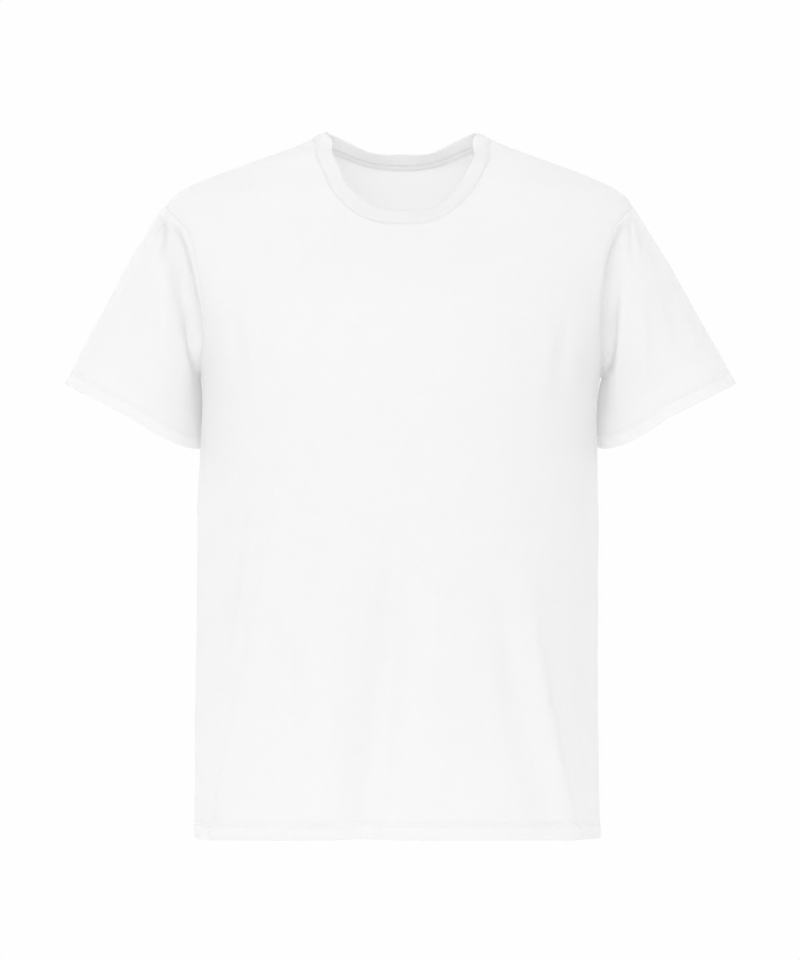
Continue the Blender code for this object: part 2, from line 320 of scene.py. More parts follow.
# How far a stitch slants, in courses; how much of its relief is the course; what stitches
# and slubs add to the relief; what patches of heavier yarn add to the tone, and how much shade is
# painted into the hollows between the stitches
STITCH_SLANT = 0.45
COURSE_SHARE = 0.45
RELIEF = (0.7, 0.6)
PATCH_SHADE = 0.2
PAINTED_STITCH_SHADE = 0.02

# Yarn of the sewing thread and of the rib: scale and detail of its fibres, strength and
# depth in metres of their relief, roughness; and how much the fibres vary in shade
THREAD_YARN = (2600.0, 2.0, 0.4, 0.00005, 0.7)
RIB_YARN = (900.0, 3.0, 0.5, 0.0001, 0.9)
FIBRE_SHADE = 0.05

# What shows of the cloth that is cut for each piece, in metres: width and height, area
CUT = {
    "front_panel": ((0.532, 0.735), 0.362),
    "back_panel": ((0.532, 0.742), 0.360),
    "right_sleeve": ((0.44, 0.225), 0.062),
    "left_sleeve": ((0.44, 0.225), 0.062),
}

# Stage, in metres: the camera's x and z, the lights (place, size, setting of their power),
# where they aim, and the floor
CAMERA_PLACE = (-0.001, -0.3454)
SENSOR_HEIGHT = 36.0
LIGHTS = {
    "key_light": ((-0.5, -2.4, 1.7), 2.4, "key_power"),
    "front_light": ((-0.3, -3.5, 0.3), 2.6, "front_power"),
    "right_rim_light": ((-2.4, 1.6, 0.8), 1.8, "rim_power"),
    "left_rim_light": ((2.4, 1.6, 0.8), 1.8, "rim_power"),
}
LIT_PLACE = (0, 0, -0.3)
FLOOR_RADIUS = 3.2
FLOOR_SIDES = 128
FLOOR_COLOUR = (0.9, 0.9, 0.9, 1)
FLOOR_ROUGHNESS = 0.9


def curve(table, column, at):
    """One column of a table read at any value of its first column, as a smooth curve."""
    rows = np.array(sorted(table), float)
    x, y = rows[:, 0], rows[:, column]
    gap = np.diff(x)
    slope = np.diff(y) / gap
    system = np.eye(len(x))
    rise = np.zeros(len(x))
    for i in range(1, len(x) - 1):
        system[i, i - 1 : i + 2] = gap[i - 1], 2 * (gap[i - 1] + gap[i]), gap[i]
        rise[i] = 6 * (slope[i] - slope[i - 1])
    bend = np.linalg.solve(system, rise)
    at = np.clip(np.asarray(at, float), x[0], x[-1])
    i = np.clip(np.searchsorted(x, at) - 1, 0, len(x) - 2)
    left, right = (x[i + 1] - at) / gap[i], (at - x[i]) / gap[i]
    curving = (left**3 - left) * bend[i] + (right**3 - right) * bend[i + 1]
    return left * y[i] + right * y[i + 1] + curving * gap[i] ** 2 / 6


def ramp(value):
    """0 below 0, 1 above 1, and smooth between."""
    share = np.clip(value, 0, 1)
    return share * share * (3 - 2 * share)


def unit(vectors):
    """Vectors made one long."""
    return vectors / np.linalg.norm(vectors, axis=-1, keepdims=True)


def through(first, middle, last, share):
    """Where a smooth path through three places is, at a share of the way along it."""
    return (
        first * (1 - share) * (1 - 2 * share)
        + 4 * middle * share * (1 - share)
        + last * share * (2 * share - 1)
    )


def read_along(at, length, points):
    """The points at given lengths along a path."""
    return np.stack([np.interp(at, length, points[:, k]) for k in range(3)], axis=-1)


def along_columns(at, heights, points):
    """The point of each column of a grid that lies at one height."""
    columns = range(points.shape[1])
    return np.array([read_along(at, heights[:, j], points[:, j]) for j in columns])


def crowded(count):
    """Shares from 0 to 1, close together at both ends."""
    share = np.linspace(0, 1, count + 1)
    return share - EDGE_CROWDING * np.sin(2 * np.pi * share) / (2 * np.pi)


def eased(ring, reach):
    """A closed ring of vectors with its sudden changes smoothed over some of its points."""
    window = np.hanning(2 * reach + 1)
    window /= window.sum()
    joined = np.vstack([ring[-reach:], ring, ring[:reach]])
    columns = [np.convolve(joined[:, k], window, "valid") for k in range(ring.shape[1])]
    return np.stack(columns, axis=-1)


def signed(angle):
    """An angle as it is counted from the front, up to a half turn either way."""
    return (angle + HALF_TURN) % (2 * HALF_TURN) - HALF_TURN


def folds(angle, height, reach):
    """How far the folds of the body push the cloth out at an angle and height."""
    push = np.zeros(np.broadcast(angle, height).shape)
    for *angles, top, half_width, rise in FOLDS:
        down = np.clip((top - height) / (top - BODY_HEM), 0, 1)
        away = np.radians(signed(angle - through(*angles, down))) * reach / half_width
        push = push + rise * ramp(down * FOLD_GROWTH) * np.exp(-away * away)
    return push


def on_form(angle, height):
    """Points of the form's outer face."""
    turn = np.radians(angle)
    in_front = np.cos(turn) > 0
    depth = np.where(in_front, curve(FORM, 3, height), curve(FORM, 4, height))
    across = np.abs(np.sin(turn) / curve(FORM, 2, height)) ** CORNER
    along = np.abs(np.cos(turn) / depth) ** CORNER
    reach = (across + along) ** (-1 / CORNER)
    reach = reach + folds(angle, height, reach)
    x = curve(FORM, 1, height) + reach * np.sin(turn)
    y = -reach * np.cos(turn)
    return np.stack([x, y, np.broadcast_to(height, x.shape)], axis=-1)


def armhole():
    """(angle, height) round the armhole: down the front from the shoulder, up the back."""
    ring = np.array(ARMHOLE, float)
    count = len(ring)
    system = 4 * np.eye(count) + np.roll(np.eye(count), 1, 0) + np.roll(np.eye(count), -1, 0)
    knots = np.linalg.solve(system, 6 * ring)
    halves = (0, ARMHOLE_ARMPIT), (ARMHOLE_ARMPIT, count)
    at = [np.linspace(start, end, ARMHOLE_STEPS, endpoint=False) for start, end in halves]
    at = np.concatenate(at)
    i, t = at.astype(int), (at % 1)[:, None]
    before, here, after, later = (knots[(i + k) % count] for k in (-1, 0, 1, 2))
    return (
        (1 - t) ** 3 * before
        + (3 * t**3 - 6 * t**2 + 4) * here
        + (-3 * t**3 + 3 * t**2 + 3 * t + 1) * after
        + t**3 * later
    ) / 6


def panel_span(behind):
    """The angle at the middle of a panel, and how far it reaches to either side."""
    return (HALF_TURN, HALF_TURN - SEAM_ANGLE) if behind else (0.0, SEAM_ANGLE)


def panel_edge(behind):
    """(angle, height) up the side of a panel: hem, side seam, armhole, shoulder seam."""
    hem = [BODY_HEM + share * BODY_HEM_DEPTH for share, *_ in HEM_ROWS]
    upper = np.linspace(hem[-1], ARMPIT, BODY_ROWS + 1)[1:-1]
    side = [(SEAM_ANGLE, height) for height in (*hem, *upper)]
    loop = armhole()
    front, back = loop[: ARMHOLE_STEPS + 1][::-1], loop[ARMHOLE_STEPS:]
    scoop = np.vstack([back, loop[:1]]) if behind else front
    left = np.linspace(1, 0, SHOULDER_STEPS + 1)[1:] ** SHOULDER_CROWDING
    shoulder = NECK_POINT + (scoop[-1, 1] - NECK_POINT) * left
    return np.vstack([side, scoop, [(SEAM_ANGLE, height) for height in shoulder]])


def neck_drop(behind, across):
    """How far the neck seam drops below the neck point, across a panel from -1 to 1."""
    deepest, askew = (BACK_NECK_DROP, 0.0) if behind else (FRONT_NECK_DROP, NECK_ASKEW)
    off_middle = np.abs(across - askew * np.cos(np.pi / 2 * across))
    return deepest * (1 - off_middle**NECK_FLATNESS) ** NECK_LEVELLING


def row_dips(edge_heights, deepest):
    """How far each row of a panel dips at its middle, so that they spread up to the neck."""
    low = ramp((edge_heights - DIP_BOTTOM) / (ARMPIT - DIP_BOTTOM))
    dips = low * ARMPIT_DIP * deepest
    first = int(np.argmin(np.abs(edge_heights - ARMPIT)))
    top, bottom = NECK_POINT - deepest, ARMPIT - dips[first]
    share = np.linspace(0, 1, len(edge_heights) - first)
    share = share + NECK_CROWDING * share * share * (1 - share)
    dips[first:] = edge_heights[first:] - (bottom + (top - bottom) * share)
    return dips


def panel(behind):
    """The outer face of the front or back panel, as rows of points from hem to neck."""
    across = 2 * crowded(BODY_COLUMNS) - 1
    middle, spread = panel_span(behind)
    drop = neck_drop(behind, across)
    hem_rise = (BACK_HEM_RISE if behind else FRONT_HEM_RISE) * (1 - np.abs(across) ** 3)
    edge = panel_edge(behind)
    rows = []
    for (edge_angle, edge_height), dip in zip(edge, row_dips(edge[:, 1], drop.max())):
        scoop = (edge_angle - SEAM_ANGLE) * (-1 if behind else 1) * across**3
        near_hem = ramp((HEM_RISE_TOP - edge_height) / (HEM_RISE_TOP - BODY_HEM))
        flatter = 1 + TIP_FLATTENING * ramp((NECK_POINT - edge_height) / SHOULDER_DROP)
        height = edge_height - dip * (drop / drop.max()) ** flatter + near_hem * hem_rise
        rows.append(on_form(middle + across * spread + scoop, height))
    return np.array(rows)


def neck_loop(count):
    """Round the neck seam in even steps from the right shoulder past the front: each
    point, which way the cloth there faces, and its angle from the front; then the length."""
    angles, heights = [], []
    for behind in (False, True):
        across = np.linspace(-1, 1, NECK_SAMPLES)[:-1]
        middle, spread = panel_span(behind)
        angles.append(middle + across * spread)
        heights.append(NECK_POINT - neck_drop(behind, across))
    angles, heights = np.concatenate(angles), np.concatenate(heights)
    loop = on_form(angles, heights)
    gone = np.linalg.norm(np.diff(loop, axis=0, append=loop[:1]), axis=1).cumsum()
    at = np.linspace(0, gone[-1], count, endpoint=False)
    start = np.concatenate([[0], gone[:-1]])
    angles, heights = (np.interp(at, start, column) for column in (angles, heights))
    onward = on_form(angles + SLOPE_STEP, heights) - on_form(angles - SLOPE_STEP, heights)
    upward = on_form(angles, heights + SLOPE_STEP) - on_form(angles, heights - SLOPE_STEP)
    facing = unit(np.cross(onward, upward))
    return on_form(angles, heights), facing, signed(angles), gone[-1]


def sleeve_hem(side, outer, inner, sag, lift, share):
    """Points round a sleeve's hem; share runs 0 to 1 to 2, top, front, underarm, back, top."""
    turn = np.pi * share
    outer_end = np.array([side * outer[0], HEM_OUTER_Y, outer[1]])
    inner_end = np.array([side * inner[0], HEM_INNER_Y, inner[1]])
    middle, reach = (outer_end + inner_end) / 2, (outer_end - inner_end) / 2
    loop = middle + np.cos(turn)[:, None] * reach
    loop[:, 1] -= SLEEVE_HEM_HALF_DEPTH * np.sin(turn)
    inwards = np.clip(-np.cos(turn), 0, 1)
    loop[:, 2] += lift * inwards**HEM_CORNER_TURN - sag * np.sin(np.pi * inwards)
    return loop


def sleeve(side, fuller, outer, inner, sag, lift):
    """The outer face of a sleeve, rows from armhole to hem, and each point's way to go."""
    loop = armhole()
    start = on_form(side * loop[:, 0], loop[:, 1])
    share = np.arange(len(loop)) / ARMHOLE_STEPS
    end = sleeve_hem(side, outer, inner, sag, lift, share)
    facing, upward = np.sin(np.pi * share), np.cos(np.pi * share)
    run = [curve(SLEEVE_RUN, k, 1 - np.abs(1 - share)) for k in range(1, 6)]
    leaving = np.stack([side * run[0], run[1] * np.sign(facing), -run[2]], axis=-1)
    arriving = np.stack([side * run[3], 0 * share, -run[4]], axis=-1)
    rows = []
    for t in np.linspace(0, 1, SLEEVE_SAMPLES):
        row = (
            (2 * t**3 - 3 * t**2 + 1) * start
            + (t**3 - 2 * t**2 + t) * leaving
            + (3 * t**2 - 2 * t**3) * end
            + (t**3 - t**2) * arriving
        )
        front, top, back = (curve(SLEEVE_EASE, k, t) for k in (1, 2, 3))
        push = (
            front * np.clip(facing, 0, 1) ** 2
            + back * np.clip(-facing, 0, 1) ** 2
            + top * fuller * np.clip(upward, 0, 1) ** 2
        )
        rows.append(row + unit(row - row.mean(axis=0)) * push[:, None])
    fine = np.array(rows)
    gone = np.cumsum(np.linalg.norm(np.diff(fine, axis=0, prepend=fine[:1]), axis=2), axis=0)
    hem_zone = [share * SLEEVE_HEM_DEPTH for share, *_ in HEM_ROWS][::-1]
    columns = []
    for j in range(fine.shape[1]):
        length = gone[-1, j]
        upper = crowded(SLEEVE_ROWS)[:-1] * (length - hem_zone[0])
        at = np.concatenate([upper, length - np.array(hem_zone)])
        column = [np.interp(at, gone[:, j], fine[:, j, k]) for k in range(3)]
        columns.append([*column, length - at])
    grid = np.array(columns).transpose(2, 0, 1)
    if side < 0:
        grid = grid[:, ::-1]
    return grid[..., :3], grid[..., 3]


def normals_of(grid, closed):
    """Which way the outer face looks at each point of a grid."""
    if closed:
        across = np.roll(grid, -1, 1) - np.roll(grid, 1, 1)
    else:
        across = np.gradient(grid, axis=1)
    return unit(np.cross(across, np.gradient(grid, axis=0)))


def near_edge(grid, edge):
    """Each point's distance to an edge, and which point of the edge is nearest."""
    distance, nearest = [], []
    for row in grid:
        apart = np.linalg.norm(row[:, None] - edge[None], axis=2)
        nearest.append(apart.argmin(axis=1))
        distance.append(apart.min(axis=1))
    return np.array(distance), np.array(nearest)


def share_normals(pieces):
    """Turns the edges of pieces that meet to one normal, and says how alike they were."""
    edges = []
    for piece in pieces:
        for place in piece["edge"]:
            edges.append((piece, place, piece["grid"][place], piece["normals"][place].copy()))
    points = np.array([point for _, _, point, _ in edges])
    for piece, place, point, own in edges:
        meet = np.nonzero(np.abs(points - point).max(axis=1) < SAME_PLACE)[0]
        shared, alike = own.copy(), 1.0
        for other in meet:
            if edges[other][0] is piece:
                continue
            match = own @ edges[other][3]
            shared += np.clip(1 + match, 0, 1) * edges[other][3]
            alike = min(alike, match)
        piece["normals"][place] = unit(shared)
        piece["alike"][place] = np.clip(1 + alike, 0, 1)


def unevenness(points):
    """A slow, shallow unevenness of the cloth, the same wherever two pieces meet."""
    draw = np.random.default_rng(UNEVEN_SEED)
    height = np.zeros(points.shape[:-1])
    for _ in range(UNEVEN_WAVES):
        length = draw.uniform(*UNEVEN_LENGTHS)
        way = unit(draw.normal(size=3)) * 2 * np.pi / length
        height += np.sin(points @ way + draw.uniform(0, 2 * np.pi)) * length / UNEVEN_LENGTHS[1]
    return height / np.sqrt(UNEVEN_WAVES)


# Creases on each piece: side it lies on (-1 front, 1 back), path down it as three (x, z)
# places, half width towards -X and +X, rise, share over which it fades in and out,
# sharpness
CREASES = {
    "front_panel": (
        # the middle
        (-1, (-4, -320), (-14, -520), (-30, -704), 15, 20, -6.0, 0.5, 0.0, 2.0),
        (-1, (28, -390), (34, -520), (26, -680), 18, 16, 2.4, 0.5, 0.4, 2.0),
        (-1, (-103, -480), (-106, -556), (-112, -625), 9, 10, -3.0, 0.4, 0.5, 2.0),
        (-1, (-60, -520), (-72, -610), (-84, -700), 16, 14, 2.0, 0.5, 0.2, 2.0),
        # towards the wearer's right
        (-1, (-104, -265), (-148, -500), (-188, -704), 9, 19, 4.6, 0.5, 0.0, 1.8),
        (-1, (-172, -590), (-182, -650), (-191, -704), 3, 4, 1.3, 0.5, 0.0, 1.6),
        (-1, (-146, -320), (-174, -520), (-200, -700), 10, 9, -4.2, 0.4, 0.0, 2.0),
        (-1, (-128, -420), (-118, -500), (-104, -560), 7, 7, 1.4, 0.5, 0.5, 2.0),
        # towards the wearer's left
        (-1, (120, -400), (146, -560), (179, -704), 5, 5, 3.2, 0.5, 0.0, 1.5),
        (-1, (86, -400), (114, -560), (156, -700), 17, 12, -4.6, 0.5, 0.1, 2.0),
        (-1, (158, -545), (165, -605), (171, -680), 3, 3, 1.1, 0.5, 0.4, 1.6),
        (-1, (168, -470), (182, -590), (193, -704), 8, 9, -3.0, 0.5, 0.0, 2.0),
        (-1, (56, -430), (58, -520), (60, -610), 13, 13, 1.6, 0.5, 0.5, 2.0),
        # the chest, drawn from the armholes
        (-1, (-176, -150), (-162, -215), (-166, -300), 7, 9, -1.6, 0.4, 0.6, 2.0),
        (-1, (-160, -165), (-146, -230), (-140, -305), 8, 10, 1.5, 0.4, 0.6, 2.0),
        (-1, (172, -160), (160, -225), (164, -310), 9, 7, -1.8, 0.4, 0.6, 2.0),
        (-1, (150, -175), (143, -240), (140, -310), 10, 8, 1.4, 0.4, 0.6, 2.0),
    ),
    "back_panel": (
        (1, (14, -330), (6, -520), (22, -700), 17, 20, -4.6, 0.5, 0.0, 2.0),
        (1, (-64, -420), (-50, -540), (-58, -704), 9, 11, -2.8, 0.5, 0.1, 2.0),
        (1, (-26, -380), (-24, -500), (-18, -650), 13, 12, 2.2, 0.5, 0.3, 2.0),
        (1, (112, -290), (146, -510), (176, -704), 12, 6, 3.4, 0.5, 0.0, 1.7),
        (1, (86, -380), (112, -550), (140, -704), 12, 14, -3.6, 0.5, 0.0, 2.0),
        (1, (-104, -350), (-142, -530), (-170, -704), 6, 9, 3.2, 0.5, 0.0, 1.6),
        (1, (-136, -330), (-168, -500), (-190, -680), 9, 8, -3.0, 0.4, 0.1, 2.0),
        # drawn from the armholes
        (1, (-150, -120), (-120, -190), (-104, -290), 10, 9, -2.0, 0.4, 0.6, 2.0),
        (1, (150, -118), (128, -200), (104, -310), 9, 12, -2.2, 0.4, 0.6, 2.0),
        (1, (128, -112), (96, -150), (60, -172), 8, 9, 1.5, 0.4, 0.6, 2.0),
        (1, (-122, -108), (-88, -140), (-52, -158), 9, 8, 1.5, 0.4, 0.6, 2.0),
    ),
    "right_sleeve": (
        # the valley beside the body, in front
        (-1, (-234, -80), (-218, -145), (-207, -250), 14, 9, -12.5, 0.3, 0.28, 1.8),
        (-1, (-212, -150), (-207, -190), (-204, -242), 8, 7, -4.5, 0.4, 0.4, 1.8),
        # drag lines from the point of the shoulder
        (-1, (-236, -72), (-245, -95), (-256, -124), 3, 3, 2.0, 0.2, 0.5, 1.8),
        (-1, (-236, -76), (-237, -104), (-238, -140), 3, 3, 2.0, 0.2, 0.5, 1.8),
        (-1, (-238, -80), (-242, -106), (-247, -146), 4, 4, -3.2, 0.2, 0.6, 2.0),
        (-1, (-241, -73), (-251, -93), (-266, -118), 3, 4, -2.8, 0.2, 0.5, 2.0),
        # long soft folds
        (-1, (-262, -130), (-276, -190), (-296, -250), 12, 14, -1.8, 0.4, 0.6, 2.0),
        (-1, (-238, -150), (-240, -200), (-246, -270), 8, 9, 2.0, 0.4, 0.5, 2.0),
        # behind
        (1, (-230, -84), (-212, -150), (-204, -262), 12, 8, -7.0, 0.5, 0.1, 1.8),
        (1, (-240, -80), (-250, -110), (-262, -150), 4, 5, 1.6, 0.2, 0.5, 1.8),
        (1, (-252, -130), (-268, -190), (-280, -250), 9, 10, -2.2, 0.4, 0.5, 2.0),
    ),
    "left_sleeve": (
        # the valley beside the body, in front
        (-1, (230, -80), (212, -145), (207, -252), 8, 10, -12.5, 0.3, 0.28, 1.8),
        (-1, (208, -145), (207, -190), (206, -242), 6, 7, -4.5, 0.4, 0.4, 1.8),
        (-1, (222, -112), (219, -180), (214, -290), 3, 5, 2.6, 0.3, 0.3, 1.5),
        # drag lines from the point of the shoulder
        (-1, (233, -76), (233, -104), (232, -134), 4, 4, -3.2, 0.2, 0.5, 1.8),
        (-1, (240, -84), (247, -110), (256, -146), 3, 3, 2.0, 0.3, 0.5, 1.8),
        (-1, (238, -78), (243, -104), (250, -136), 3, 3, -2.4, 0.2, 0.5, 1.8),
        # long soft folds
        (-1, (262, -135), (280, -195), (298, -255), 12, 12, -2.0, 0.4, 0.6, 2.0),
        (-1, (240, -150), (244, -205), (250, -275), 9, 9, 1.8, 0.4, 0.5, 2.0),
        # behind
        (1, (230, -84), (212, -155), (204, -266), 8, 12, -7.0, 0.5, 0.1, 1.8),
        (1, (238, -78), (246, -108), (260, -150), 5, 4, 1.6, 0.2, 0.5, 1.8),
        (1, (252, -140), (264, -195), (284, -255), 10, 9, -2.2, 0.4, 0.5, 2.0),
    ),
}
# A crease is this share of its width where it starts
CREASE_START_WIDTH = 0.6
# It runs on this far where the cloth turns past edge-on, after fading over this much turn
CREASE_PAST_EDGE = 0.35
CREASE_FADING = 0.6
CREASE_SAMPLES = 80


def path_samples(*places):
    """Points down a smooth path through three, and the way it runs at each."""
    share = np.linspace(0, 1, CREASE_SAMPLES)[:, None]
    path = through(*(np.array(place, float) for place in places), share)
    return path, unit(np.gradient(path, axis=0))


def creases_on(name, grid, normals):
    """How far the creases that lie on a piece push each of its points out."""
    push = np.zeros(grid.shape[:2])
    flat = grid[..., (0, 2)].reshape(-1, 2)
    for side, *places, left, right, rise, start, end, sharp in CREASES[name]:
        path, way = path_samples(*places)
        apart = flat[:, None] - path[None]
        distance = np.linalg.norm(apart, axis=2)
        nearest = distance.argmin(axis=1)
        pick = np.arange(len(flat)), nearest
        across = way[nearest] @ np.array([[0, 1], [-1, 0]])
        sideways = (apart[pick] * across).sum(axis=1)
        gone = nearest / (len(path) - 1)
        width = np.where(sideways < 0, left, right)
        width = width * (CREASE_START_WIDTH + (1 - CREASE_START_WIDTH) * gone)
        fade = ramp(gone / start) if start else 1.0
        fade = fade * (ramp((1 - gone) / end) if end else 1.0)
        shape = (fade * np.exp(-((distance[pick] / width) ** sharp))).reshape(push.shape)
        facing = side * normals[..., 1]
        push += rise * shape * ramp((facing + CREASE_PAST_EDGE) / CREASE_FADING)
    return push


def hem_profile(up, depth, layer):
    """How far the outer face sinks near a hem, and how thick the wall is there."""
    shares, sinks, layers = np.array(HEM_ROWS).T
    share = up / depth
    sink = np.interp(share, shares, sinks, right=0.0) * layer
    return sink, np.interp(share, shares, layers, right=1.0) * layer


def quads(index):
    """The corners of every face of a grid of point numbers."""
    a, b, c, d = index[:-1, :-1], index[:-1, 1:], index[1:, 1:], index[1:, :-1]
    return np.stack([a, b, c, d], -1).reshape(-1, 4)


def cloth_mesh(name, outer, inner, closed, uv, material):
    """A closed wall of cloth between two grids of points, with its pattern as a UV map."""
    rows, columns = outer.shape[:2]
    index = np.arange(rows * columns).reshape(rows, columns)
    if closed:
        index = np.hstack([index, index[:, :1]])
    back = index + rows * columns
    sheets = [quads(index), quads(back)[:, (0, 3, 2, 1)]]
    borders = [(index[0], back[0], True), (index[-1], back[-1], False)]
    if not closed:
        borders += [(index[:, 0], back[:, 0], False), (index[:, -1], back[:, -1], True)]
    for line, behind, turned in borders:
        strip = np.stack([line[:-1], line[1:], behind[1:], behind[:-1]], -1)
        sheets.append(strip[:, (1, 0, 3, 2)] if turned else strip)
    points = np.vstack([outer.reshape(-1, 3), inner.reshape(-1, 3)]) / METRE
    faces = np.vstack(sheets)
    mesh = bpy.data.meshes.new(name)
    mesh.from_pydata(points.tolist(), [], faces.tolist())
    layer = mesh.uv_layers.new(name="Pattern")
    corner = uv_corners(uv, closed, faces, rows, columns) / METRE
    layer.data.foreach_set("uv", corner.astype(np.float32).ravel())
    mesh.shade_smooth()
    mesh.materials.append(material)
    piece = bpy.data.objects.new(name, mesh)
    bpy.context.scene.collection.objects.link(piece)
    return piece


def uv_corners(uv, closed, faces, rows, columns):
    """The pattern place of every face corner; across the join of a ring it runs on."""
    flat = np.vstack([uv[:, :columns].reshape(-1, 2)] * 2)
    corner = flat[faces]
    if closed:
        across = faces % columns
        wraps = (across.max(axis=1) == columns - 1) & (across.min(axis=1) == 0)
        shift = (uv[:, -1] - uv[:, 0])[:, 0]
        row = (faces % (rows * columns)) // columns
        extra = np.where(wraps[:, None] & (across == 0), shift[row], 0.0)
        corner[..., 0] += extra
    return corner.reshape(-1, 2)


# The pattern of a panel is measured from below its hem to above its neck point
PATTERN_BELOW = 10
PATTERN_ABOVE = 6
PATTERN_SAMPLES = 800


def pattern_of_panel(grid, behind):
    """Where each point of a panel lies on its cut cloth: across from the middle, and up."""
    steps = np.linalg.norm(np.diff(grid[..., :2], axis=1), axis=2)
    across = np.hstack([np.zeros((len(grid), 1)), np.cumsum(steps, axis=1)])
    across -= across[:, [BODY_COLUMNS // 2]]
    height = np.linspace(BODY_HEM - PATTERN_BELOW, NECK_POINT + PATTERN_ABOVE, PATTERN_SAMPLES)
    depth = curve(FORM, 4 if behind else 3, height)
    way = np.concatenate([[0], np.cumsum(np.hypot(np.diff(height), np.diff(depth)))])
    return np.stack([across, np.interp(grid[..., 2], height, way)], axis=-1)


class Field:
    """A socket of a node graph that takes part in plain expressions."""

    def __init__(self, graph, socket):
        self.graph, self.socket = graph, socket

    def worked(self, operation, *others):
        values = dict(enumerate((self, *others)))
        return self.graph.add("ShaderNodeMath", {"operation": operation}, values)[0]

    def __add__(self, other):
        return self.worked("ADD", other)

    def __sub__(self, other):
        return self.worked("SUBTRACT", other)

    def __rsub__(self, other):
        return self.graph.add("ShaderNodeMath", {"operation": "SUBTRACT"}, {0: other, 1: self})[0]

    def __mul__(self, other):
        return self.worked("MULTIPLY", other)

    def __truediv__(self, other):
        return self.worked("DIVIDE", other)

    def __pow__(self, other):
        return self.worked("POWER", other)

    def __abs__(self):
        return self.worked("ABSOLUTE")

    def fraction(self):
        return self.worked("FRACT")

    def cosine(self):
        return self.worked("COSINE")

    def sine(self):
        return self.worked("SINE")

    __radd__ = __add__
    __rmul__ = __mul__


class Made:
    """A node that has been added: its outputs, by name or place."""

    def __init__(self, graph, node):
        self.graph, self.node = graph, node

    def __getitem__(self, key):
        return Field(self.graph, self.node.outputs[key])


class Graph:
    """A node tree of a material or of geometry."""

    def __init__(self, tree):
        self.tree = tree

    def add(self, kind, settings=None, values=None):
        """Adds a node: its settings first, then its sockets' values or links."""
        node = self.tree.nodes.new(kind)
        for name, value in (settings or {}).items():
            setattr(node, name, value)
        self.fill(node, values or {})
        return Made(self, node)

    def fill(self, node, values):
        """Gives sockets of a node their values or links."""
        for key, value in values.items():
            socket = node.inputs[key]
            if isinstance(value, Field):
                self.tree.links.new(value.socket, socket)
            else:
                socket.default_value = value

    def vector(self, x, y, z=0.0):
        return self.add("ShaderNodeCombineXYZ", {}, {0: x, 1: y, 2: z})[0]

    def attribute(self, name, kind):
        settings = {"data_type": kind}
        return self.add("GeometryNodeInputNamedAttribute", settings, {"Name": name})["Attribute"]

    def noise(self, settings, place, scale, detail, **more):
        values = {"Vector": place, "Scale": scale, "Detail": detail, **more}
        return self.add("ShaderNodeTexNoise", settings, values)["Fac"]

    def bump(self, strength, depth, height):
        values = {"Strength": strength, "Distance": depth, "Height": height}
        return self.add("ShaderNodeBump", {}, values)["Normal"]


def material_graph(name):
    """A new material, its graph and its principled shader."""
    material = bpy.data.materials.new(name)
    material.use_nodes = True
    graph = Graph(material.node_tree)
    return material, graph, material.node_tree.nodes["Principled BSDF"]


def slot_colour(slot):
    """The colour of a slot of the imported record, as bright as the bleached cloth is."""
    for entry in frame["record"]["materials"]:
        if entry["slot"] == slot:
            return (*(BLEACH * channel for channel in entry["base_color"]), 1.0)
    raise ValueError(f"the record has no slot {slot}")


def tinted(graph, colour, light):
    """A colour made lighter or darker by a field that is 1 where it stays as it is."""
    scale = {"data_type": "RGBA", "blend_type": "MULTIPLY"}
    grey = graph.add("ShaderNodeCombineColor", {}, {0: light, 1: light, 2: light})[0]
    return graph.add("ShaderNodeMix", scale, {"Factor": 1.0, 6: tuple(colour), 7: grey})[2]


def set_cloth_shader(graph, shader, roughness, colour, bump, let_through):
    """A matt cotton cloth that lets part of the light through."""
    shader.inputs["Roughness"].default_value = roughness
    shader.inputs["Specular IOR Level"].default_value = 0.2
    shader.inputs["Sheen Weight"].default_value = 0.05
    shader.inputs["Sheen Roughness"].default_value = 0.5
    graph.fill(shader, {"Base Color": colour, "Normal": bump})
    through = graph.add("ShaderNodeBsdfTranslucent", {}, {"Color": colour, "Normal": bump})[0]
    front = Field(graph, shader.outputs[0])
    cloth = graph.add("ShaderNodeMixShader", {}, {0: let_through, 1: front, 2: through})[0]
    graph.fill(graph.tree.nodes["Material Output"], {"Surface": cloth})


def flat_noise(graph, across, up, size, detail, roughness):
    """Noise over the pattern of a piece, of a length and height."""
    place = graph.vector(across / size[0], up / size[1])
    return graph.noise({"noise_dimensions": "2D"}, place, 1.0, detail, Roughness=roughness)


def jersey_material(name, colour, knit, depth, let_through):
    """Fine single jersey: small V stitches with painted shade in the hollows between them, and
    faint uneven slubs.
    """
    material, graph, shader = material_graph(name)
    uv = graph.add("ShaderNodeUVMap", {"uv_map": "Pattern"})["UV"]
    place = graph.add("ShaderNodeSeparateXYZ", {}, {0: uv})
    across, up = place[0], place[1]
    wale = (across / knit.wale_pitch).fraction() - 0.5
    leg = abs(wale) * 2
    slant = up / knit.course_pitch + leg * STITCH_SLANT
    course = (slant * (2 * np.pi)).cosine() * 0.5 + 0.5
    column = 1 - leg**3
    stitch = column * (course * COURSE_SHARE + (1 - COURSE_SHARE))
    streaks = flat_noise(graph, across, up, SLUB_SIZE, 3.0, 0.6)
    patches = flat_noise(graph, across, up, PATCH_SIZE, 2.0, 0.5)
    light = 1 + (streaks - 0.5) * knit.slub + (patches - 0.5) * (knit.slub * PATCH_SHADE)
    # painted shade: the colour is darker where the stitches' relief is low, in the hollows between
    # them
    light = light + (stitch - 0.6) * PAINTED_STITCH_SHADE
    relief = stitch * RELIEF[0] + streaks * RELIEF[1]
    bump = graph.bump(0.5, depth, relief)
    shade = tinted(graph, colour, light)
    set_cloth_shader(graph, shader, 0.92, shade, bump, let_through)
    return material


